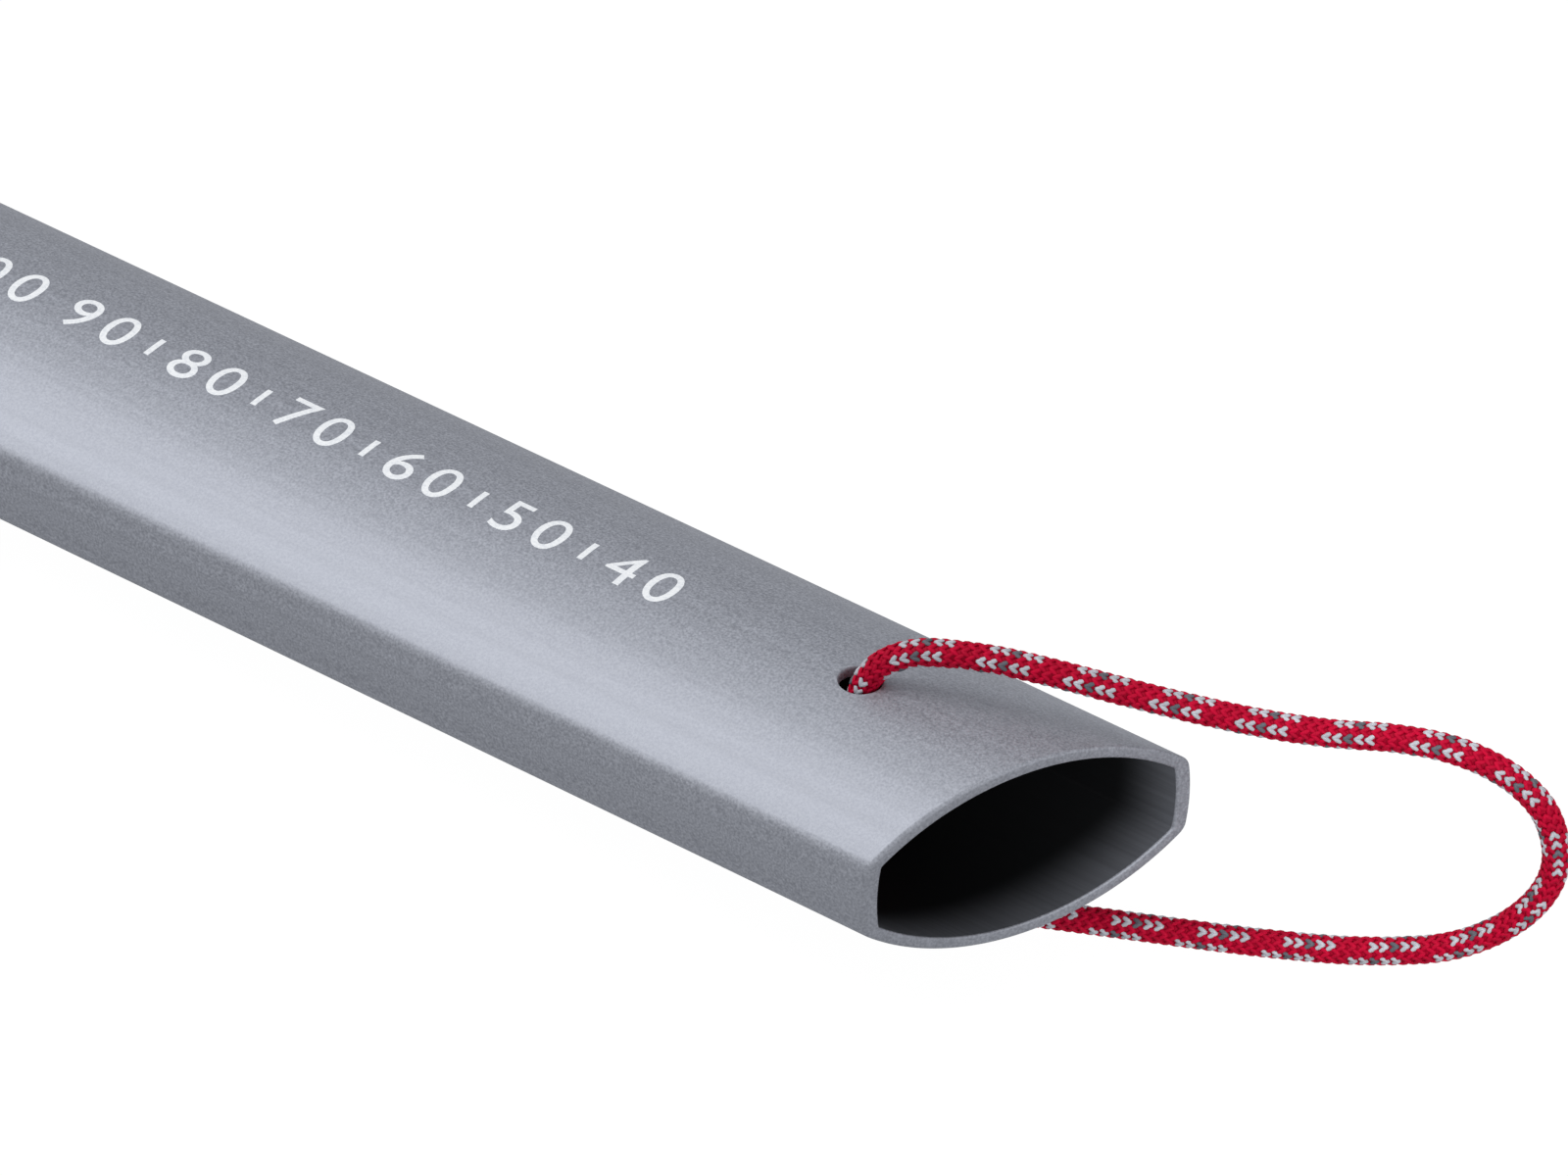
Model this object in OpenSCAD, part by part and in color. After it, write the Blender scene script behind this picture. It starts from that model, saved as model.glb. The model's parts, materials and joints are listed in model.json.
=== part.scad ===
// Tubular tent stake for snow and sand, with a braided cord pull loop.
// The stake lies flat: +X runs towards its open end, +Y across its width and +Z through
// its two broad faces. The origin is the middle of the aluminium tube.

/* [Stake tube] */
// Overall length, from the point to the open end's longer side
stake_length = 240; // [180:10:310]
// Width across the two narrow sides
stake_width = 25; // [23:0.5:28]
// Thickness across the crowns of the two broad faces
stake_height = 15.6; // [14:0.2:17]
// Height of each narrow side, from corner to corner
side_height = 6.2; // [5:0.2:7.4]
// How far each narrow side bulges past its corners
side_bulge = 0.25; // [0.1:0.05:0.5]
// Wall thickness of the two broad faces
face_wall = 1; // [0.8:0.05:1.3]
// Wall thickness of the two narrow sides
side_wall = 1.1; // [0.9:0.05:1.6]

/* [Ends] */
// Angle by which the open end's cut leans away from square
open_angle = 23.3; // [0:0.1:35]
// Angle between the slanting cut at the point and the stake's length
cut_angle = 30; // [25:1:45]
// Width of the blunt nose at the point
nose_width = 2.4; // [1.5:0.1:4]

/* [Pull loop] */
// Diameter of the cord
cord_diameter = 2; // [1.8:0.1:2.2]
// Diameter of the hole for the cord in each broad face
hole_diameter = 3.2; // [3:0.1:3.8]
// Distance from the middle of the open end to the middle of the holes
hole_inset = 15.2; // [12:0.1:22]
// Angle at which the loop rests, turned from the stake's length towards +Y
loop_angle = 25; // [-90:1:90]
// Diameter of the knot inside the tube
knot_diameter = 6.8; // [6:0.2:7.4]
// Height of the knot, where the cord runs into it at the top and the bottom
knot_height = 6.4; // [6:0.1:6.6]

/* [Hidden] */
$fn = 96;

// Outermost points of a narrow side and of a broad face, and the corner between the two
side_y = stake_width / 2;
face_z = stake_height / 2;
corner_y = side_y - side_bulge;
corner_z = side_height / 2;
// Radii of a broad face's arc and of a narrow side's arc, each through two corners
face_rise = face_z - corner_z;
face_radius = (pow(corner_y, 2) + pow(face_rise, 2)) / (2 * face_rise);
side_radius = (pow(corner_z, 2) + pow(side_bulge, 2)) / (2 * side_bulge);
// The open end's longer side, its shorter side and the holes
open_x = stake_length / 2;
short_x = open_x - stake_width * tan(open_angle);
hole_x = (open_x + short_x) / 2 - hole_inset;

// The two cord ends beyond the knot: their reach from the hole's axis, where they leave the
// knot, their height above or below its middle, and their angle to the stake's length
tail_length = 7.6;
tail_root = knot_diameter / 2 - 1;
tail_height = 1.3;
tail_spread = 18;
tip_diameter = 2.4;

// Sides of the cord's solid
cord_sides = 8;

// The cord's route, in one upright plane through the holes' axis: each point is a distance out
// from that axis and a height. Upper leg, with heights above the upper face's crown
upper_leg = [
    [0.2, -0.6], [0.8, 0.7], [1.7, 1.8], [3, 2.7], [4.7, 3.3], [7, 3.5], [10, 3.5],
    [14, 3.1], [19, 2.4], [24, 1.8], [29, 1.4], [34, 1.4], [38.5, 1.8], [42.5, 1.6]
];
// Far end, with heights above the middle of the stake
far_end = [
    [45.5, 8.5], [47.7, 7.2], [49.4, 5.4], [50.4, 3.1], [50.7, 0.6], [50.1, -1.9], [48.6, -4.4],
    [46.3, -6.6]
];
// Lower leg, back to the hole, with depths below the lower face's crown
lower_leg = [
    [43.4, 0.5], [40, 1.5], [36, 2.2], [31, 2.6], [26, 2.8], [21, 2.9], [16, 3], [11, 3.1],
    [7, 3.2], [4.7, 3.1], [3, 2.6], [1.7, 1.8], [0.8, 0.7], [0.2, -0.6]
];
// Height inside the tube at which the cord starts to bend towards its hole's edge
straight_z = 5.6;
route = concat(
    [[0, 0, knot_height / 2], [0, 0, straight_z]],
    [for (p = upper_leg) [p[0], 0, face_z + p[1]]],
    [for (p = far_end) [p[0], 0, p[1]]],
    [for (p = lower_leg) [p[0], 0, -face_z - p[1]]],
    [[0, 0, -straight_z], [0, 0, -knot_height / 2]]
);

// The route's direction at one of its points
function heading(i) =
    let (before = route[max(i - 1, 0)], after = route[min(i + 1, len(route) - 1)])
    (after - before) / norm(after - before);

// A ring of points round the cord at one point of the route, square to it
function cord_ring(i) =
    let (
        along = heading(i),
        out = cross([0, 1, 0], along) / norm(cross([0, 1, 0], along)),
        side = cross(along, out)
    )
    [for (k = [0 : cord_sides - 1])
        let (turn = k * 360 / cord_sides)
        route[i] + cord_diameter / 2 * (cos(turn) * out + sin(turn) * side)];

// Places what is drawn about the hole's axis at the holes, turned to the loop's rest angle
module at_holes() {
    translate([hole_x, 0, 0])
        rotate([0, 0, loop_angle])
        children();
}

// A lens with two broad sides and two narrow sides, all of them arcs.
// inset is how far the broad sides, and side_inset how far the narrow ones, lie inside the outside
module lens(inset, side_inset) {
    face_middle = face_radius - face_z;
    side_middle = side_radius - side_y;
    intersection() {
        translate([0, -face_middle]) circle(r = face_radius - inset);
        translate([0, face_middle]) circle(r = face_radius - inset);
        translate([-side_middle, 0]) circle(r = side_radius - side_inset);
        translate([side_middle, 0]) circle(r = side_radius - side_inset);
    }
}

// The stake seen from above: straight sides, a leaning cut at the open end and a slanting cut to
// a blunt nose
module plan() {
    nose_x = -stake_length / 2;
    cut_length = (stake_width - nose_width) / tan(cut_angle);
    polygon([
        [nose_x, -side_y], [nose_x, nose_width - side_y], [nose_x + cut_length, side_y],
        [open_x, side_y], [short_x, -side_y]
    ]);
}

// Aluminium extrusion, sawn off at an angle at the open end and to a point at the other, with two
// cord holes
module stake_tube() {
    color("#98A0AA")
    difference() {
        intersection() {
            rotate([90, 0, 90])
                linear_extrude(height = stake_length + 2, center = true)
                lens(0, 0);
            linear_extrude(height = 2 * stake_height, center = true)
                plan();
        }
        rotate([90, 0, 90])
            linear_extrude(height = stake_length + 4, center = true)
            lens(face_wall, side_wall);
        translate([hole_x, 0, 0])
            cylinder(d = hole_diameter, h = 2 * stake_height, center = true);
    }
}

// Braided cord, out of the upper hole, round the loop and into the lower hole
module pull_cord() {
    rings = len(route);
    last = rings - 1;
    color("#C8102E")
    at_holes()
        polyhedron(
            points = [for (i = [0 : last]) each cord_ring(i)],
            faces = concat(
                [[for (k = [0 : cord_sides - 1]) k]],
                [for (i = [0 : last - 1]) for (k = [0 : cord_sides - 1])
                    let (next = (k + 1) % cord_sides)
                    [i * cord_sides + k, (i + 1) * cord_sides + k,
                     (i + 1) * cord_sides + next, i * cord_sides + next]],
                [[for (k = [cord_sides - 1 : -1 : 0]) last * cord_sides + k]]
            )
        );
}

// Overhand knot that joins the cord's two ends inside the tube and cannot pass the holes
module cord_knot() {
    color("#A80D26")
    at_holes()
        intersection() {
            sphere(d = knot_diameter);
            cube([knot_diameter, knot_diameter, knot_height], center = true);
        }
}

// One cord end that stands out of the knot away from the open end, melted to a bead at its tip
module cord_tail(height, turn) {
    color("#B80E2A")
    translate([hole_x, 0, height])
        rotate([0, 0, turn])
        rotate([0, 90, 0]) {
            translate([0, 0, tail_root])
                cylinder(d = cord_diameter, h = tail_length - tail_root);
            translate([0, 0, tail_length])
                sphere(d = tip_diameter);
        }
}

module cord_tail_upper() {
    cord_tail(tail_height, 180 - tail_spread);
}

module cord_tail_lower() {
    cord_tail(-tail_height, 180 + tail_spread);
}

stake_tube();
pull_cord();
cord_knot();
cord_tail_upper();
cord_tail_lower();
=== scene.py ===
"""Tubular tent stake for snow and sand, with its braided pull loop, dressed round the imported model.

The sections follow the stake as it is made: the tube, its printed scale, the cord that is
threaded through it, and the knot and cord ends inside. All sizes are in metres.
"""
import json
import math

import bmesh
import bpy
import numpy as np
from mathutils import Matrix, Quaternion, Vector


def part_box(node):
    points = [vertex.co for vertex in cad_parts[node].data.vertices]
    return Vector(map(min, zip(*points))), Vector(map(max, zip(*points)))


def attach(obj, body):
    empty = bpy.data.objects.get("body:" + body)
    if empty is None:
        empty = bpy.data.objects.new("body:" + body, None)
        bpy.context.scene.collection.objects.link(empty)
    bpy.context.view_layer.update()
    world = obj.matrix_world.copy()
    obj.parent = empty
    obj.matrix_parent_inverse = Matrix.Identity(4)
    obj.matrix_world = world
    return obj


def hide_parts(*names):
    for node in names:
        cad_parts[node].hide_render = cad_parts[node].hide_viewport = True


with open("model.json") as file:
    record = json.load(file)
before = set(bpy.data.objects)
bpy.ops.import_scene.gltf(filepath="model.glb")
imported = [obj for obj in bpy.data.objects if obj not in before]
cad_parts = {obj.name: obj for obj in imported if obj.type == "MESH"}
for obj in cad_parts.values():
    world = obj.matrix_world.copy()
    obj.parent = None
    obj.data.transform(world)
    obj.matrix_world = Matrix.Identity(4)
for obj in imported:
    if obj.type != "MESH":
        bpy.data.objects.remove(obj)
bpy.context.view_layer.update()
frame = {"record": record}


# ---------------------------------------------------------------------------------------------
# Camera
# A long lens, well above the stake and on its near side, aimed at the open end, so that the stake
# comes into view from the left and its loop reaches the right edge.
# ---------------------------------------------------------------------------------------------
stake_low, stake_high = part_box("stake_tube")
camera_aim = Vector((stake_high.x - 0.037371, 0.013847, 0.0))
camera_distance = 1.000115
camera_azimuth = math.radians(-54.702)
camera_elevation = math.radians(36.781)
camera_roll = math.radians(2.162)

to_camera = Vector((
    math.cos(camera_elevation) * math.cos(camera_azimuth),
    math.cos(camera_elevation) * math.sin(camera_azimuth),
    math.sin(camera_elevation),
))
camera_data = bpy.data.cameras.new("camera")
camera_data.lens = 315
camera_data.sensor_width = 36
camera_data.clip_start = 0.05
camera_data.clip_end = 20
camera = bpy.data.objects.new("camera", camera_data)
bpy.context.scene.collection.objects.link(camera)
camera.location = camera_aim + to_camera * camera_distance
camera.rotation_mode = "QUATERNION"
camera.rotation_quaternion = (
    (-to_camera).to_track_quat("-Z", "Y") @ Quaternion((0, 0, 1), camera_roll)
)
bpy.context.scene.camera = camera


# ---------------------------------------------------------------------------------------------
# Stake tube
# One length of aluminium extrusion with a lens-shaped section. It is sawn off at an angle at the
# open end and to a point at the other, drilled through both broad faces, tumbled so that every
# edge is slightly round, bead-blasted and clear anodised.
# ---------------------------------------------------------------------------------------------
side_height = 0.0062
side_bulge = 0.00025
face_wall = 0.001
side_wall = 0.0011
outer_corner = 0.0014
inner_corner = 0.0004
open_rim_outer = 0.00030
open_rim_inner = 0.00018
point_rim = 0.00022
open_angle = math.radians(23.3)
cut_angle = math.radians(30)
nose_width = 0.0024
hole_radius = 0.0016
hole_deburr = 0.00028
nose_softness = 0.0006
end_margin = 0.004
straight_rings = [0.0, 0.05, 0.09]
hole_x = frame["record"]["behaviour"]["joints"][0]["pos_m"][0]

half_width = stake_high.y
half_height = stake_high.z
corner_y = half_width - side_bulge
corner_z = side_height / 2
face_rise = half_height - corner_z
face_radius = (corner_y ** 2 + face_rise ** 2) / (2 * face_rise)
face_centre = face_radius - half_height
side_radius = (corner_z ** 2 + side_bulge ** 2) / (2 * side_bulge)
side_centre = side_radius - half_width


def crown_height(y, lift=0.0):
    """Height of the upper face's outside at y, plus a lift square to it."""
    return np.sqrt((face_radius + lift) ** 2 - np.asarray(y) ** 2) - face_centre


def section(face_inset, side_inset, corner):
    """The closed outline, as (y, z), of the lens inset by those amounts, with round corners."""
    broad = face_radius - face_inset
    narrow = side_radius - side_inset
    # The corner's centre lies where the two arcs, moved in by its radius, cross.
    apart = math.hypot(side_centre, face_centre)
    along = ((broad - corner) ** 2 - (narrow - corner) ** 2 + apart ** 2) / (2 * apart)
    aside = math.sqrt((broad - corner) ** 2 - along ** 2)
    y = (aside * face_centre - along * side_centre) / apart
    z = (aside * side_centre + along * face_centre) / apart - face_centre
    broad_end = math.atan2(z + face_centre, y)
    narrow_end = math.atan2(z, y + side_centre)
    quarter = []
    for a in np.linspace(math.pi / 2, broad_end, 27)[:-1]:
        quarter.append((broad * math.cos(a), broad * math.sin(a) - face_centre))
    for a in np.linspace(broad_end, narrow_end, 9)[:-1]:
        quarter.append((y + corner * math.cos(a), z + corner * math.sin(a)))
    for a in np.linspace(narrow_end, 0, 7):
        quarter.append((narrow * math.cos(a) - side_centre, narrow * math.sin(a)))
    right = quarter + [(a, -b) for a, b in quarter[-2::-1]]
    return np.array(right + [(-a, b) for a, b in right[-2:0:-1]])


def point_x(y):
    """Where the stake's slanting cut is at y, with the nose's corner rounded off."""
    slope = (np.asarray(y) + half_width - nose_width) / math.tan(cut_angle)
    return stake_low.x + 0.5 * (slope + np.sqrt(slope ** 2 + nose_softness ** 2))


def open_x(y):
    """Where the open end's leaning cut is at y."""
    return stake_high.x - (half_width - np.asarray(y)) * math.tan(open_angle)


beside_hole = np.linspace(hole_x - end_margin, hole_x + end_margin, 17)
rings = []


def add_ring(outline, x):
    """Adds the section at one inset, at one x or at an x for each of its points."""
    rings.append(np.column_stack([np.broadcast_to(x, len(outline)), outline]))


# The rings run along the outside from the point to the open end and back along the inside.
outer = section(0, 0, outer_corner)
inner = section(face_wall, side_wall, inner_corner)
for turn in np.radians(np.linspace(90, 0, 5)):
    inset = point_rim * (1 - math.cos(turn))
    outline = section(inset, inset, outer_corner)
    add_ring(outline, point_x(outline[:, 0]) + point_rim * (1 - math.sin(turn)))
straight_start = point_x(half_width) + end_margin
for x in [straight_start, *straight_rings, *beside_hole]:
    add_ring(outer, x)
add_ring(outer, open_x(outer[:, 0]) - end_margin)
for turn in np.radians(np.linspace(0, 90, 6)):
    inset = open_rim_outer * (1 - math.cos(turn))
    outline = section(inset, inset, outer_corner)
    add_ring(outline, open_x(outline[:, 0]) - open_rim_outer * (1 - math.sin(turn)))
for turn in np.radians(np.linspace(90, 0, 5)):
    inset = open_rim_inner * (1 - math.cos(turn))
    outline = section(face_wall - inset, side_wall - inset, inner_corner)
    add_ring(outline, open_x(outline[:, 0]) - open_rim_inner * (1 - math.sin(turn)))
add_ring(inner, open_x(inner[:, 0]) - end_margin)
for x in [*beside_hole[::-1], *straight_rings[::-1], straight_start]:
    add_ring(inner, x)
for turn in np.radians(np.linspace(0, 90, 4)):
    inset = point_rim * (1 - math.cos(turn))
    outline = section(face_wall - inset, side_wall - inset, inner_corner)
    add_ring(outline, point_x(outline[:, 0]) + point_rim * (1 - math.sin(turn)))

around = len(outer)
points = np.vstack(rings)
faces = []
for i in range(len(rings)):
    j = (i + 1) % len(rings)
    for k in range(around):
        m = (k + 1) % around
        faces.append((i * around + k, i * around + m, j * around + m, j * around + k))
stake_mesh = bpy.data.meshes.new("stake")
stake_mesh.from_pydata([tuple(p) for p in points], [], faces)
stake = bpy.data.objects.new("stake", stake_mesh)
bpy.context.scene.collection.objects.link(stake)


def recalculate(mesh):
    """Points every face of a closed mesh outwards."""
    made = bmesh.new()
    made.from_mesh(mesh)
    bmesh.ops.recalc_face_normals(made, faces=made.faces)
    made.to_mesh(mesh)
    made.free()


recalculate(stake_mesh)

# The drill's cutter: a spool that is wider at the four places where it breaks through a surface,
# which leaves the holes' edges deburred.
outer_clearance = 0.00004
inner_clearance = 0.00003
inner_break = hole_radius + hole_deburr * 0.6
beyond_outside = 0.002
beyond_inside = 0.001
drill_sides = 48
spool = []
for turn in np.linspace(0, 80, 5):
    widen = hole_deburr * (1 - math.cos(math.radians(turn)))
    drop = hole_deburr * math.sin(math.radians(turn))
    spool.append((hole_radius + hole_deburr - drop, half_height + outer_clearance - widen))
spool.append((hole_radius, half_height - hole_deburr * 1.2))
spool.append((hole_radius, half_height - face_wall + hole_deburr * 0.7))
spool.append((inner_break, half_height - face_wall - inner_clearance))
spool = [(hole_radius + hole_deburr, half_height + beyond_outside)] + spool
spool.append((inner_break, half_height - face_wall - beyond_inside))
for side in (1, -1):
    cutter_points, cutter_faces = [], []
    for r, z in spool:
        for k in range(drill_sides):
            a = 2 * math.pi * k / drill_sides
            cutter_points.append((hole_x + r * math.cos(a), r * math.sin(a), side * z))
    for i in range(len(spool) - 1):
        for k in range(drill_sides):
            m = (k + 1) % drill_sides
            here, there = i * drill_sides, (i + 1) * drill_sides
            cutter_faces.append((here + k, here + m, there + m, there + k))
    cutter_faces.append(tuple(range(drill_sides)))
    cutter_faces.append(tuple(range((len(spool) - 1) * drill_sides, len(spool) * drill_sides)))
    cutter_mesh = bpy.data.meshes.new("drill")
    cutter_mesh.from_pydata(cutter_points, [], cutter_faces)
    recalculate(cutter_mesh)
    drill = bpy.data.objects.new("drill", cutter_mesh)
    bpy.context.scene.collection.objects.link(drill)
    cut = stake.modifiers.new("drill", "BOOLEAN")
    cut.operation = "DIFFERENCE"
    cut.solver = "EXACT"
    cut.object = drill
    evaluated = stake.evaluated_get(bpy.context.evaluated_depsgraph_get())
    drilled = bpy.data.meshes.new_from_object(evaluated)
    stake.modifiers.clear()
    stake.data = drilled
    bpy.data.objects.remove(drill)
stake.data.name = "stake"
for polygon in stake.data.polygons:
    polygon.use_smooth = True
stake.data.set_sharp_from_angle(angle=math.radians(35))
even = stake.modifiers.new("even_normals", "WEIGHTED_NORMAL")
even.keep_sharp = True
even.weight = 90


def node(tree, kind, inputs=None, **settings):
    """Adds a node with its settings; each input is a value or another node's output socket."""
    made = tree.nodes.new(kind)
    for name, value in settings.items():
        setattr(made, name, value)
    for name, value in (inputs or {}).items():
        socket = made.inputs[name]
        if isinstance(value, bpy.types.NodeSocket):
            tree.links.new(value, socket)
        else:
            socket.default_value = value
    return made


def linear(hex_colour):
    """An sRGB hex colour as linear RGBA."""
    parts = [int(hex_colour[i:i + 2], 16) / 255 for i in (1, 3, 5)]
    return tuple(c / 12.92 if c <= 0.04045 else ((c + 0.055) / 1.055) ** 2.4
                 for c in parts) + (1.0,)


# Bead-blasted, clear-anodised aluminium: the blasting leaves pits about a fifth of a millimetre
# across, so the eye gets a soft, cool grey sheen with a fine sparkle and no sharp reflection.
anodised = bpy.data.materials.new("bead_blasted_anodised_aluminium")
anodised.use_nodes = True
tree = anodised.node_tree
tree.nodes.clear()
place = node(tree, "ShaderNodeTexCoord")
pits = node(tree, "ShaderNodeTexNoise", {
    "Vector": place.outputs["Object"], "Scale": 5200, "Detail": 3, "Roughness": 0.6})
sparkle = node(tree, "ShaderNodeValToRGB", {"Fac": pits.outputs["Fac"]})
sparkle.color_ramp.elements[0].position = 0.34
sparkle.color_ramp.elements[0].color = linear("#9EA1AA")
sparkle.color_ramp.elements[1].position = 0.68
sparkle.color_ramp.elements[1].color = linear("#C2C5CD")
streaks_place = node(tree, "ShaderNodeMapping", {
    "Vector": place.outputs["Object"], "Scale": (6, 1100, 1100)})
streaks = node(tree, "ShaderNodeTexNoise", {
    "Vector": streaks_place.outputs["Vector"], "Scale": 1, "Detail": 2})
streak_tone = node(tree, "ShaderNodeMapRange", {
    "Value": streaks.outputs["Fac"], "From Min": 0.3, "From Max": 0.7,
    "To Min": 0.96, "To Max": 1.04})
toned = node(tree, "ShaderNodeVectorMath", {
    0: sparkle.outputs["Color"], "Scale": streak_tone.outputs["Result"]}, operation="SCALE")
haze = node(tree, "ShaderNodeMapRange", {
    "Value": pits.outputs["Fac"], "From Min": 0.3, "From Max": 0.7, "To Min": 0.6, "To Max": 0.74})
bumps = node(tree, "ShaderNodeBump", {
    "Height": pits.outputs["Fac"], "Strength": 0.22, "Distance": 0.00003})
shader = node(tree, "ShaderNodeBsdfPrincipled", {
    "Base Color": toned.outputs["Vector"], "Metallic": 1.0, "Roughness": haze.outputs["Result"],
    "Normal": bumps.outputs["Normal"]})
node(tree, "ShaderNodeOutputMaterial", {"Surface": shader.outputs["BSDF"]})

# The same metal inside, with the fine lines that the extrusion die leaves along the tube. Its
# colour carries painted shade: near black deep in the tube, fading to the metal's grey within a
# few millimetres of the open end and of the slanting cut, where the light gets in.
inner_metal_and_painted_shade = bpy.data.materials.new("as_extruded_aluminium_and_painted_shade")
inner_metal_and_painted_shade.use_nodes = True
tree = inner_metal_and_painted_shade.node_tree
tree.nodes.clear()
place = node(tree, "ShaderNodeTexCoord")
lines_place = node(tree, "ShaderNodeMapping", {
    "Vector": place.outputs["Object"], "Scale": (12, 2600, 2600)})
lines = node(tree, "ShaderNodeTexNoise", {
    "Vector": lines_place.outputs["Vector"], "Scale": 1, "Detail": 3, "Roughness": 0.6})
line_tone = node(tree, "ShaderNodeMapRange", {
    "Value": lines.outputs["Fac"], "From Min": 0.3, "From Max": 0.7, "To Min": 0.85, "To Max": 1.1})
# Painted shade: over these depths from the open end and from the slanting cut, the inside darkens to
# near black.
shade_fade_depth = 0.0050
shade_fade_past_end = 0.0003
point_shade_fade_depth = 0.014
out_of_end = (math.cos(open_angle), -math.sin(open_angle), 0)
end_distance = out_of_end[0] * stake_high.x + out_of_end[1] * half_width
outwards = node(tree, "ShaderNodeVectorMath", {
    0: place.outputs["Object"], 1: out_of_end}, operation="DOT_PRODUCT")
open_end_painted_light = node(tree, "ShaderNodeMapRange", {
    "Value": outwards.outputs["Value"], "From Min": end_distance - shade_fade_depth,
    "From Max": end_distance + shade_fade_past_end}, interpolation_type="SMOOTHSTEP")
into_point = (math.sin(cut_angle), -math.cos(cut_angle), 0)
cut_distance = into_point[0] * stake_low.x - into_point[1] * (half_width - nose_width)
inwards = node(tree, "ShaderNodeVectorMath", {
    0: place.outputs["Object"], 1: into_point}, operation="DOT_PRODUCT")
point_end_painted_light = node(tree, "ShaderNodeMapRange", {
    "Value": inwards.outputs["Value"], "From Min": cut_distance,
    "From Max": cut_distance + point_shade_fade_depth, "To Min": 1.0, "To Max": 0.0})
either = node(tree, "ShaderNodeMath", {
    0: open_end_painted_light.outputs["Result"], 1: point_end_painted_light.outputs["Result"]}, operation="MAXIMUM")
# Painted shade: near black deep inside the tube, the metal's grey near the two ends.
painted_depth_shade = node(tree, "ShaderNodeValToRGB", {"Fac": either.outputs["Value"]})
painted_depth_shade.color_ramp.elements[0].color = linear("#0C0D10")
painted_depth_shade.color_ramp.elements[1].color = linear("#75787F")
lined = node(tree, "ShaderNodeVectorMath", {
    0: painted_depth_shade.outputs["Color"], "Scale": line_tone.outputs["Result"]}, operation="SCALE")
bumps = node(tree, "ShaderNodeBump", {
    "Height": lines.outputs["Fac"], "Strength": 0.3, "Distance": 0.00002})
shader = node(tree, "ShaderNodeBsdfPrincipled", {
    "Base Color": lined.outputs["Vector"], "Metallic": 0.5, "Roughness": 0.65,
    "Normal": bumps.outputs["Normal"]})
node(tree, "ShaderNodeOutputMaterial", {"Surface": shader.outputs["BSDF"]})

# The inside's faces take the second metal, which carries the painted shade.
stake.data.materials.clear()
for metal in (anodised, inner_metal_and_painted_shade):
    stake.data.materials.append(metal)
for polygon in stake.data.polygons:
    x, y, z = polygon.center
    faces_in = polygon.normal.y * y + polygon.normal.z * z < 0
    off_the_hole = math.hypot(x - hole_x, y) > hole_radius + hole_deburr
    behind_the_rim = x < open_x(y) - open_rim_inner
    polygon.material_index = int(faces_in and off_the_hole and behind_the_rim)

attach(stake, "stake")
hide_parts("stake_tube")


# ---------------------------------------------------------------------------------------------
# Depth scale
# White ink, pad-printed on the upper face's crown after anodising: the distance in millimetres
# from the open end's longer side, every 10 mm and from 100 every 20 mm, with ticks half-way
# between the numbers where there is room.
# ---------------------------------------------------------------------------------------------
numeral_height = 0.0038
tick_length = 0.0022
tick_width = 0.00046
ink_lift = 0.000018
ink_thickness = 0.00003
first_number = 40
last_number = 160
tick_spacing = 5
room_for_two_figures = 5
room_for_three_figures = 8
weld_distance = 0.000002
print_reach = 0.0020
strip_width = 0.0004
numbers = [n for n in range(first_number, last_number + 1, 10) if n < 100 or n % 20 == 0]

ink_parts = bmesh.new()
for number in numbers:
    text = bpy.data.curves.new("number", "FONT")
    text.body = str(number)
    text.size = 1.0
    text.space_character = 1.3
    text.align_x = "CENTER"
    text_object = bpy.data.objects.new("number", text)
    bpy.context.scene.collection.objects.link(text_object)
    flat = bpy.data.meshes.new_from_object(
        text_object.evaluated_get(bpy.context.evaluated_depsgraph_get()))
    bpy.data.objects.remove(text_object)
    across = np.array([v.co for v in flat.vertices])
    size = numeral_height / (across[:, 1].max() - across[:, 1].min())
    middle = (across.max(0) + across.min(0)) / 2
    for v in flat.vertices:
        v.co = (stake_high.x - number / 1000 + (v.co.x - middle[0]) * size,
                (v.co.y - middle[1]) * size, 0)
    ink_parts.from_mesh(flat)
    bpy.data.meshes.remove(flat)
for place_mm in range(first_number, last_number, tick_spacing):
    if any(abs(place_mm - n) < (room_for_two_figures if n < 100 else room_for_three_figures)
           for n in numbers):
        continue
    x = stake_high.x - place_mm / 1000
    corners = [ink_parts.verts.new((x + a * tick_width / 2, b * tick_length / 2, 0))
               for a, b in ((-1, -1), (1, -1), (1, 1), (-1, 1))]
    ink_parts.faces.new(corners)
bmesh.ops.remove_doubles(ink_parts, verts=ink_parts.verts, dist=weld_distance)
# Cut into strips along the stake, so that the print can follow the crown.
for y in np.arange(-print_reach, print_reach + strip_width / 40, strip_width):
    bmesh.ops.bisect_plane(
        ink_parts, geom=[*ink_parts.verts, *ink_parts.edges, *ink_parts.faces],
        plane_co=(0, y, 0), plane_no=(0, 1, 0))
for v in ink_parts.verts:
    v.co.z = float(crown_height(v.co.y, ink_lift))
scale_mesh = bpy.data.meshes.new("depth_scale")
ink_parts.to_mesh(scale_mesh)
ink_parts.free()
depth_scale = bpy.data.objects.new("depth_scale", scale_mesh)
bpy.context.scene.collection.objects.link(depth_scale)
film = depth_scale.modifiers.new("film", "SOLIDIFY")
film.thickness = ink_thickness
film.offset = -1

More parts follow.
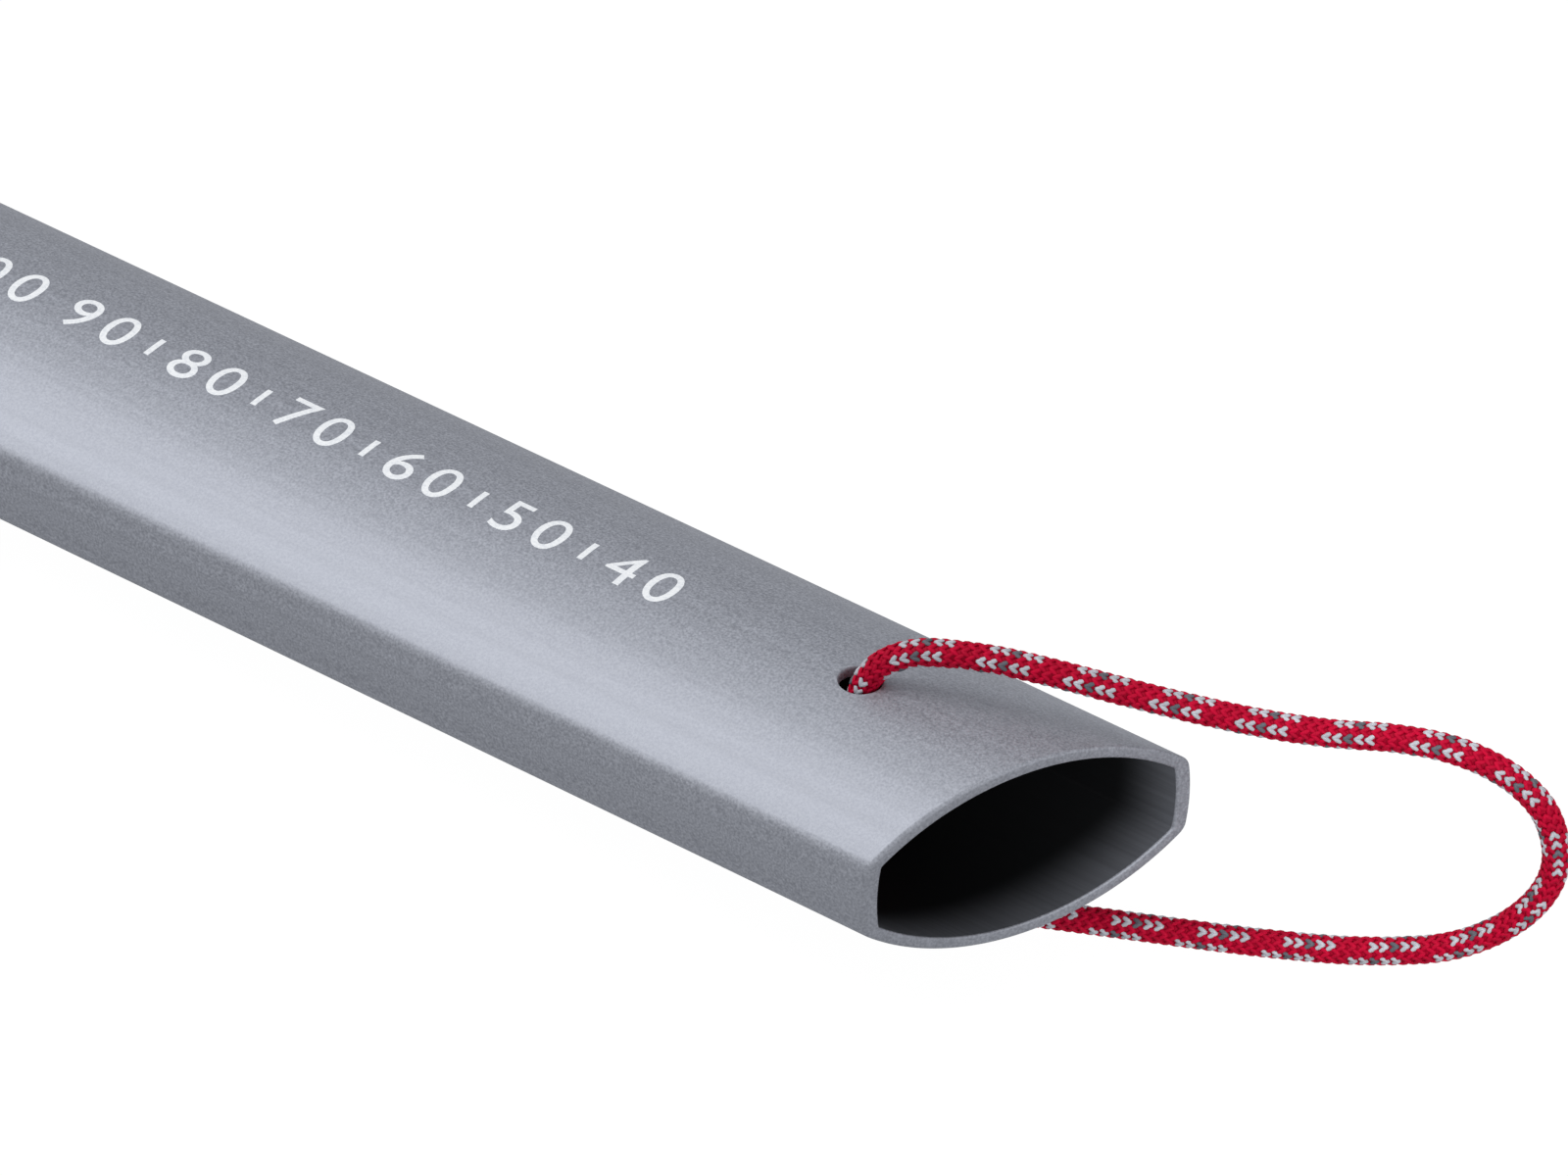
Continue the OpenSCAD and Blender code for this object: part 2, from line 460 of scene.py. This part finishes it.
# Pad-printing ink: a thin matt film, a little uneven where the grain of the metal shows through.
ink = bpy.data.materials.new("white_pad_printing_ink")
ink.use_nodes = True
tree = ink.node_tree
tree.nodes.clear()
place = node(tree, "ShaderNodeTexCoord")
thin = node(tree, "ShaderNodeTexNoise", {
    "Vector": place.outputs["Object"], "Scale": 5200, "Detail": 3, "Roughness": 0.6})
cover = node(tree, "ShaderNodeValToRGB", {"Fac": thin.outputs["Fac"]})
cover.color_ramp.elements[0].position = 0.3
cover.color_ramp.elements[0].color = linear("#E2E6EC")
cover.color_ramp.elements[1].position = 0.6
cover.color_ramp.elements[1].color = linear("#F8FAFC")
bumps = node(tree, "ShaderNodeBump", {
    "Height": thin.outputs["Fac"], "Strength": 0.3, "Distance": 0.00002})
shader = node(tree, "ShaderNodeBsdfPrincipled", {
    "Base Color": cover.outputs["Color"], "Roughness": 0.6, "Normal": bumps.outputs["Normal"]})
node(tree, "ShaderNodeOutputMaterial", {"Surface": shader.outputs["BSDF"]})
scale_mesh.materials.append(ink)

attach(depth_scale, "stake")


# ---------------------------------------------------------------------------------------------
# Pull cord
# Two-millimetre guy line: a braided polyester sheath, red with grey flecks of reflective yarn,
# over a straight core. It leaves the upper hole, reaches 51 mm out and goes into the lower hole.
# ---------------------------------------------------------------------------------------------
loop_angle = math.radians(25)
knot_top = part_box("cord_knot")[1].z

# The route in the upright plane through the holes: (distance out, height) in millimetres, with
# the legs' heights above and depths below the broad faces' crowns.
upper_leg = [
    (0.2, -0.6), (0.8, 0.7), (1.7, 1.8), (3, 2.7), (4.7, 3.3), (7, 3.5), (10, 3.5), (14, 3.1),
    (19, 2.4), (24, 1.8), (29, 1.4), (34, 1.4), (38.5, 1.8), (42.5, 1.6)]
far_end = [
    (45.5, 8.5), (47.7, 7.2), (49.4, 5.4), (50.4, 3.1), (50.7, 0.6), (50.1, -1.9), (48.6, -4.4),
    (46.3, -6.6)]
lower_leg = [
    (43.4, 0.5), (40, 1.5), (36, 2.2), (31, 2.6), (26, 2.8), (21, 2.9), (16, 3), (11, 3.1),
    (7, 3.2), (4.7, 3.1), (3, 2.6), (1.7, 1.8), (0.8, 0.7), (0.2, -0.6)]
straight_z = 5.6
crown = half_height * 1000
route = ([(0, knot_top * 1000), (0, straight_z)] + [(a, crown + b) for a, b in upper_leg]
         + far_end + [(a, -crown - b) for a, b in lower_leg]
         + [(0, -straight_z), (0, -knot_top * 1000)])
route = [Vector((hole_x + a / 1000 * math.cos(loop_angle), a / 1000 * math.sin(loop_angle),
                 b / 1000)) for a, b in route]


def smoothed(line, steps):
    """Points on the smooth curve through every point of a line (centripetal Catmull-Rom)."""
    line = [2 * line[0] - line[1], *line, 2 * line[-1] - line[-2]]
    out = []
    for p0, p1, p2, p3 in zip(line, line[1:], line[2:], line[3:]):
        t1 = (p1 - p0).length ** 0.5
        t2 = t1 + (p2 - p1).length ** 0.5
        t3 = t2 + (p3 - p2).length ** 0.5
        for i in range(steps):
            t = t1 + (t2 - t1) * i / steps
            a1 = p0.lerp(p1, t / t1)
            a2 = p1.lerp(p2, (t - t1) / (t2 - t1))
            a3 = p2.lerp(p3, (t - t2) / (t3 - t2))
            b1 = a1.lerp(a2, t / t2)
            b2 = a2.lerp(a3, (t - t1) / (t3 - t1))
            out.append(b1.lerp(b2, (t - t1) / (t2 - t1)))
    return out + [line[-2]]


# The braid: rows of strands along a line. Each column round the cord is a chain of V shapes, one
# strand leaning left and one leaning right, and every other column has flecks of grey yarn.
braid = bpy.data.node_groups.new("braid_along_line", "GeometryNodeTree")
for name, kind, value in (
    ("Geometry", "NodeSocketGeometry", None), ("Cord radius", "NodeSocketFloat", 0.00106),
    ("Row pitch", "NodeSocketFloat", 0.000786), ("Columns", "NodeSocketInt", 10),
    ("Strand length", "NodeSocketFloat", 0.00088), ("Strand width", "NodeSocketFloat", 0.00038),
    ("Strand height", "NodeSocketFloat", 0.00030), ("Lean", "NodeSocketFloat", math.radians(30)),
    ("Turn start", "NodeSocketFloat", math.radians(18)), ("Fleck start", "NodeSocketInt", 0),
    ("Seed", "NodeSocketInt", 7),
    ("Material", "NodeSocketMaterial", None),
):
    socket = braid.interface.new_socket(name, in_out="INPUT", socket_type=kind)
    if value is not None:
        socket.default_value = value
braid.interface.new_socket("Geometry", in_out="OUTPUT", socket_type="NodeSocketGeometry")


given = node(braid, "NodeGroupInput").outputs
line = node(braid, "GeometryNodeMeshToCurve", {"Mesh": given["Geometry"]}).outputs["Curve"]
whole = node(braid, "GeometryNodeCurveLength", {"Curve": line}).outputs["Length"]
index = node(braid, "GeometryNodeInputIndex").outputs["Index"]

# The sums that place each strand and choose its yarn. A word stands for an earlier line's result.
# Flecks: of each eight strands of an even column, two light, one dark, two light and three red.
value = {}
for name, operation, first, second in (
    ("row spaces", "DIVIDE", whole, given["Row pitch"]),
    ("rows", "FLOOR", "row spaces", 0.0),
    ("pitch", "DIVIDE", whole, "rows"),
    ("strands per row", "MULTIPLY", given["Columns"], 2.0),
    ("strands", "MULTIPLY", "rows", "strands per row"),
    ("hand", "MODULO", index, 2.0),
    ("half index", "DIVIDE", index, 2.0),
    ("pair", "FLOOR", "half index", 0.0),
    ("column", "FLOORED_MODULO", "pair", given["Columns"]),
    ("odd", "MODULO", "column", 2.0),
    ("row share", "DIVIDE", index, "strands per row"),
    ("row", "FLOOR", "row share", 0.0),
    ("stagger", "MULTIPLY", "odd", 0.5),
    ("row middle", "ADD", "row", 0.25),
    ("rows along", "ADD", "row middle", "stagger"),
    ("along", "MULTIPLY", "rows along", "pitch"),
    ("hand side", "SUBTRACT", "hand", 0.5),
    ("side", "MULTIPLY", "hand side", 0.5),
    ("column place", "ADD", "column", "side"),
    ("round share", "DIVIDE", "column place", given["Columns"]),
    ("plain turn", "MULTIPLY", "round share", 2 * math.pi),
    ("turn", "ADD", "plain turn", given["Turn start"]),
    ("turn cosine", "COSINE", "turn", 0.0),
    ("turn sine", "SINE", "turn", 0.0),
    ("lean way", "MULTIPLY", "hand side", 2.0),
    ("lean", "MULTIPLY", "lean way", given["Lean"]),
    ("lean cosine", "COSINE", "lean", 0.0),
    ("lean sine", "SINE", "lean", 0.0),
    ("half height", "MULTIPLY", given["Strand height"], 0.5),
    ("rise", "SUBTRACT", given["Cord radius"], "half height"),
    ("core radius", "MULTIPLY", given["Cord radius"], 0.8),
    ("shifted", "MULTIPLY", "column", 0.8),
    ("shift", "ROUND", "shifted", 0.0),
    ("fleck row", "ADD", "row", "shift"),
    ("fleck place", "ADD", "fleck row", given["Fleck start"]),
    ("step", "FLOORED_MODULO", "fleck place", 8.0),
    ("in fleck", "LESS_THAN", "step", 4.5),
    ("even column", "LESS_THAN", "odd", 0.5),
    ("is grey", "MULTIPLY", "in fleck", "even column"),
    ("from middle", "SUBTRACT", "step", 2.0),
    ("off middle", "ABSOLUTE", "from middle", 0.0),
    ("is dark", "LESS_THAN", "off middle", 0.5),
    ("shade", "ADD", "is dark", 1.0),
    ("yarn", "MULTIPLY", "is grey", "shade"),
):
    value[name] = node(
        braid, "ShaderNodeMath",
        {0: value[first] if isinstance(first, str) else first,
         1: value[second] if isinstance(second, str) else second},
        operation=operation).outputs["Value"]

here = node(braid, "GeometryNodeSampleCurve", {
    "Curves": line, "Length": value["along"]}, mode="LENGTH").outputs
# The strand's directions and place, each a sum or product of earlier ones in the same way.
way = {"position": here["Position"], "forward": here["Tangent"], "normal": here["Normal"]}
for name, operation, first, second in (
    ("across", "CROSS_PRODUCT", "forward", "normal"),
    ("outward along normal", "SCALE", "normal", "turn cosine"),
    ("outward across", "SCALE", "across", "turn sine"),
    ("outward", "ADD", "outward along normal", "outward across"),
    ("round the cord", "CROSS_PRODUCT", "forward", "outward"),
    ("strand forward", "SCALE", "forward", "lean cosine"),
    ("strand round", "SCALE", "round the cord", "lean sine"),
    ("strand", "ADD", "strand forward", "strand round"),
    ("out to the strand", "SCALE", "outward", "rise"),
    ("place", "ADD", "position", "out to the strand"),
):
    with_what = {"Scale": value[second]} if operation == "SCALE" else {1: way[second]}
    way[name] = node(braid, "ShaderNodeVectorMath", {0: way[first], **with_what},
                     operation=operation).outputs["Vector"]
strand_turn = node(braid, "FunctionNodeAxesToRotation", {
    "Primary Axis": way["outward"], "Secondary Axis": way["strand"]},
    primary_axis="Z", secondary_axis="X").outputs["Rotation"]
strands = node(braid, "GeometryNodePoints", {"Count": value["strands"]})
placed = node(braid, "GeometryNodeSetPosition", {
    "Geometry": strands.outputs["Geometry"], "Position": way["place"]}).outputs["Geometry"]
tint = node(braid, "FunctionNodeRandomValue", {"Seed": given["Seed"]}, data_type="FLOAT")
marked = node(braid, "GeometryNodeStoreNamedAttribute", {
    "Geometry": placed, "Name": "yarn", "Value": value["yarn"]}, data_type="FLOAT", domain="POINT")
marked = node(braid, "GeometryNodeStoreNamedAttribute", {
    "Geometry": marked.outputs["Geometry"], "Name": "yarn_tint",
    "Value": tint.outputs[1]}, data_type="FLOAT", domain="POINT")

grain = node(braid, "GeometryNodeMeshUVSphere", {"Segments": 8, "Rings": 4, "Radius": 0.5})
lying = node(braid, "GeometryNodeTransform", {
    "Geometry": grain.outputs["Mesh"], "Rotation": (0, math.pi / 2, 0)}).outputs["Geometry"]
strand_size = node(braid, "ShaderNodeCombineXYZ", {
    "X": given["Strand length"], "Y": given["Strand width"], "Z": given["Strand height"]})
own_place = node(braid, "GeometryNodeStoreNamedAttribute", {
    "Geometry": lying, "Name": "on_strand",
    "Value": node(braid, "GeometryNodeInputPosition").outputs["Position"]},
    data_type="FLOAT_VECTOR", domain="POINT").outputs["Geometry"]
strand_shape = node(braid, "GeometryNodeTransform", {
    "Geometry": own_place, "Scale": strand_size.outputs["Vector"]}).outputs["Geometry"]
woven = node(braid, "GeometryNodeInstanceOnPoints", {
    "Points": marked.outputs["Geometry"], "Instance": strand_shape,
    "Rotation": strand_turn}).outputs["Instances"]
core_ring = node(braid, "GeometryNodeCurvePrimitiveCircle", {
    "Resolution": 14, "Radius": value["core radius"]})
core = node(braid, "GeometryNodeCurveToMesh", {
    "Curve": line, "Profile Curve": core_ring.outputs["Curve"], "Fill Caps": True})
both = node(braid, "GeometryNodeJoinGeometry")
braid.links.new(woven, both.inputs["Geometry"])
braid.links.new(core.outputs["Mesh"], both.inputs["Geometry"])
solid = node(braid, "GeometryNodeRealizeInstances", {"Geometry": both.outputs["Geometry"]})
smooth = node(braid, "GeometryNodeSetShadeSmooth", {"Geometry": solid.outputs["Geometry"]})
finished = node(braid, "GeometryNodeSetMaterial", {
    "Geometry": smooth.outputs["Geometry"], "Material": given["Material"]})
node(braid, "NodeGroupOutput", {"Geometry": finished.outputs["Geometry"]})

# Braided polyester: dyed red filaments with a soft gloss, and grey yarn with glass-bead flecks.
# The filaments run along each strand and are drawn about 0.04 mm wide, coarser than the real ones.
polyester = bpy.data.materials.new("braided_polyester_guy_line")
polyester.use_nodes = True
tree = polyester.node_tree
tree.nodes.clear()
yarn = node(tree, "ShaderNodeAttribute", attribute_name="yarn").outputs["Fac"]
tinted = node(tree, "ShaderNodeAttribute", attribute_name="yarn_tint").outputs["Fac"]
on_strand = node(tree, "ShaderNodeAttribute", attribute_name="on_strand").outputs["Vector"]
yarn_colour = node(tree, "ShaderNodeValToRGB", {
    "Fac": node(tree, "ShaderNodeMath", {0: yarn, 1: 0.5}, operation="MULTIPLY").outputs[0]})
ramp = yarn_colour.color_ramp
ramp.interpolation = "CONSTANT"
ramp.elements[0].position = 0.0
ramp.elements[0].color = linear("#BC0030")
ramp.elements[1].position = 0.25
ramp.elements[1].color = linear("#BEC0C8")
darker = ramp.elements.new(0.75)
darker.color = linear("#64666E")
filaments_place = node(tree, "ShaderNodeMapping", {
    "Vector": on_strand, "Scale": (1.2, 9, 9)})
filaments = node(tree, "ShaderNodeTexNoise", {
    "Vector": filaments_place.outputs["Vector"], "Scale": 1, "Detail": 2})
filament_tone = node(tree, "ShaderNodeMapRange", {
    "Value": filaments.outputs["Fac"], "From Min": 0.3, "From Max": 0.7,
    "To Min": 0.78, "To Max": 1.16})
strand_tone = node(tree, "ShaderNodeMapRange", {
    "Value": tinted, "To Min": 0.86, "To Max": 1.1})
tone = node(tree, "ShaderNodeMath", {
    0: filament_tone.outputs["Result"], 1: strand_tone.outputs["Result"]}, operation="MULTIPLY")
coloured = node(tree, "ShaderNodeVectorMath", {
    0: yarn_colour.outputs["Color"], "Scale": tone.outputs[0]}, operation="SCALE")
bumps = node(tree, "ShaderNodeBump", {
    "Height": filaments.outputs["Fac"], "Strength": 0.5, "Distance": 0.00004})
shader = node(tree, "ShaderNodeBsdfPrincipled", {
    "Base Color": coloured.outputs["Vector"], "Roughness": 0.6, "Specular IOR Level": 0.12,
    "Normal": bumps.outputs["Normal"]})
node(tree, "ShaderNodeOutputMaterial", {"Surface": shader.outputs["BSDF"]})


def braided(name, lines, fleck_start):
    """A plain mesh of braided cord along one or more lines of points, made with the braid."""
    parts = []
    for line in lines:
        guide = bpy.data.meshes.new("guide")
        guide.from_pydata(line, [(i, i + 1) for i in range(len(line) - 1)], [])
        guide_object = bpy.data.objects.new("guide", guide)
        bpy.context.scene.collection.objects.link(guide_object)
        modifier = guide_object.modifiers.new("braid", "NODES")
        modifier.node_group = braid
        for item in braid.interface.items_tree:
            if item.name == "Fleck start":
                modifier[item.identifier] = fleck_start
            if item.name == "Material":
                modifier[item.identifier] = polyester
        evaluated = guide_object.evaluated_get(bpy.context.evaluated_depsgraph_get())
        parts.append(bpy.data.meshes.new_from_object(evaluated))
        bpy.data.objects.remove(guide_object)
    made = parts[0]
    if len(parts) > 1:
        joined = [bpy.data.objects.new("part", m) for m in parts]
        for o in joined:
            bpy.context.scene.collection.objects.link(o)
        with bpy.context.temp_override(active_object=joined[0], selected_objects=joined,
                                       selected_editable_objects=joined):
            bpy.ops.object.join()
        made = joined[0].data
        bpy.data.objects.remove(joined[0])
    made.name = name
    piece = bpy.data.objects.new(name, made)
    bpy.context.scene.collection.objects.link(piece)
    return piece


cord_line = smoothed(route, 6)
pull_loop = braided("pull_loop", [cord_line], 3)

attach(pull_loop, "loop")
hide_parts("pull_cord")


# ---------------------------------------------------------------------------------------------
# Knot
# Both ends of the cord are wrapped round each other in an overhand knot inside the tube. It is
# too wide for the holes, which is what holds the loop.
# ---------------------------------------------------------------------------------------------
wrap_radius = 0.0021
wrap_height = 0.00125
wrap_start_height = 0.0022
lead_in_height = 0.0026
wrap_degrees = 340
wrap_step = 20
widening_degrees = 80
start_share = 0.35
turned_degrees = 18
knot_lines = []
for side in (1, -1):
    strand = [Vector((0, 0, side * knot_top)), Vector((0, 0, side * lead_in_height))]
    for degrees in range(-wrap_degrees, 1, wrap_step):
        grow = min(1.0, (degrees + wrap_degrees) / widening_degrees)
        angle = side * math.radians(degrees + turned_degrees)
        radius = wrap_radius * (start_share + (1 - start_share) * grow)
        height = side * (wrap_start_height - (wrap_start_height - wrap_height) * grow)
        strand.append(Vector((radius * math.cos(angle), radius * math.sin(angle), height)))
    knot_lines.append([Vector((hole_x, 0, 0)) + p for p in smoothed(strand, 4)])
knot = braided("knot", knot_lines, 0)

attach(knot, "loop")
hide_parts("cord_knot")


# ---------------------------------------------------------------------------------------------
# Cord ends
# The two short ends stand out of the knot away from the open end. Each was cut hot, which melted
# its tip to a hard bead that keeps the braid from fraying.
# ---------------------------------------------------------------------------------------------
tail_root = 0.0024
tail_length = 0.0070
tail_spread = math.radians(18)
bead_reach = 0.0074
bead_radius = 0.0012
bead_lumpiness = 0.05
for name, cad_name, side in (("cord_end_upper", "cord_tail_upper", 1),
                             ("cord_end_lower", "cord_tail_lower", -1)):
    low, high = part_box(cad_name)
    height = (low.z + high.z) / 2
    way = Vector((-math.cos(tail_spread), side * math.sin(tail_spread), 0))
    root = Vector((hole_x, 0, height))
    line = [root + way * (tail_root + (tail_length - tail_root) * i / 8) for i in range(9)]
    piece = braided(name, [line], 1)
    bead = bmesh.new()
    bead.from_mesh(piece.data)
    ball = bmesh.ops.create_uvsphere(bead, u_segments=20, v_segments=12, radius=bead_radius)
    for v in ball["verts"]:
        lump = math.sin(v.co.x * 5200 + side) * math.cos(v.co.y * 4300)
        v.co = root + way * bead_reach + v.co * (1 + bead_lumpiness * lump)
    for f in bead.faces:
        f.smooth = True
    bead.to_mesh(piece.data)
    bead.free()
    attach(piece, "loop")
    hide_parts(cad_name)


# ---------------------------------------------------------------------------------------------
# Floor
# A pale light table under the stake, which lies on its point's lower face and on the loop. It
# glows evenly for the camera and throws no light on the stake.
# ---------------------------------------------------------------------------------------------
rest_front = Vector((0.109, -0.0121))
rest_back = Vector((-0.105, stake_low.z))
slope = (rest_front.y - rest_back.y) / (rest_front.x - rest_back.x)
floor_mesh = bpy.data.meshes.new("tabletop")
reach = 3.0
floor_mesh.from_pydata(
    [(a, b, rest_front.y + (a - rest_front.x) * slope)
     for a, b in ((-reach, -reach), (reach, -reach), (reach, reach), (-reach, reach))],
    [], [(0, 1, 2, 3)])
floor = bpy.data.objects.new("tabletop", floor_mesh)
bpy.context.scene.collection.objects.link(floor)
paper = bpy.data.materials.new("matt_white_card")
paper.use_nodes = True
paper_shader = paper.node_tree.nodes["Principled BSDF"].inputs
for name, value in (("Base Color", linear("#3A3A3A")), ("Roughness", 0.9),
                    ("Specular IOR Level", 0.1), ("Emission Color", linear("#FFFFFF")),
                    ("Emission Strength", 0.98)):
    paper_shader[name].default_value = value
floor_mesh.materials.append(paper)
floor.visible_diffuse = False
floor.visible_glossy = False


# ---------------------------------------------------------------------------------------------
# Lights
# A large soft box above and to the left, a weak fill from the right, a snooted spot on the far
# end of the loop, and a pale room.
# ---------------------------------------------------------------------------------------------
for name, place, size, power in (
    ("softbox", (-0.60, -0.52, 1.25), 1.0, 13.5),
    ("fill", (1.15, -0.25, 0.35), 0.5, 2),
):
    light = bpy.data.lights.new(name, "AREA")
    light.shape = "SQUARE"
    light.size = size
    light.energy = power
    lamp = bpy.data.objects.new(name, light)
    bpy.context.scene.collection.objects.link(lamp)
    lamp.location = place
    lamp.rotation_mode = "QUATERNION"
    lamp.rotation_quaternion = (camera_aim - Vector(place)).to_track_quat("-Z", "Y")
spot = bpy.data.lights.new("loop_spot", "SPOT")
spot.energy = 24
spot.spot_size = math.radians(4.5)
spot.spot_blend = 1.0
spot.shadow_soft_size = 0.01
loop_spot = bpy.data.objects.new("loop_spot", spot)
bpy.context.scene.collection.objects.link(loop_spot)
loop_spot.location = (1.0, -0.6, 0.6)
loop_far_end = Vector((0.146, 0.024, 0.0))
loop_spot.rotation_mode = "QUATERNION"
loop_spot.rotation_quaternion = (
    loop_far_end - loop_spot.location).to_track_quat("-Z", "Y")
room = bpy.data.worlds.new("room")
room.use_nodes = True
room.node_tree.nodes["Background"].inputs["Color"].default_value = linear("#F4F5F7")
room.node_tree.nodes["Background"].inputs["Strength"].default_value = 0.52
bpy.context.scene.world = room
bpy.context.scene.view_settings.view_transform = "Standard"
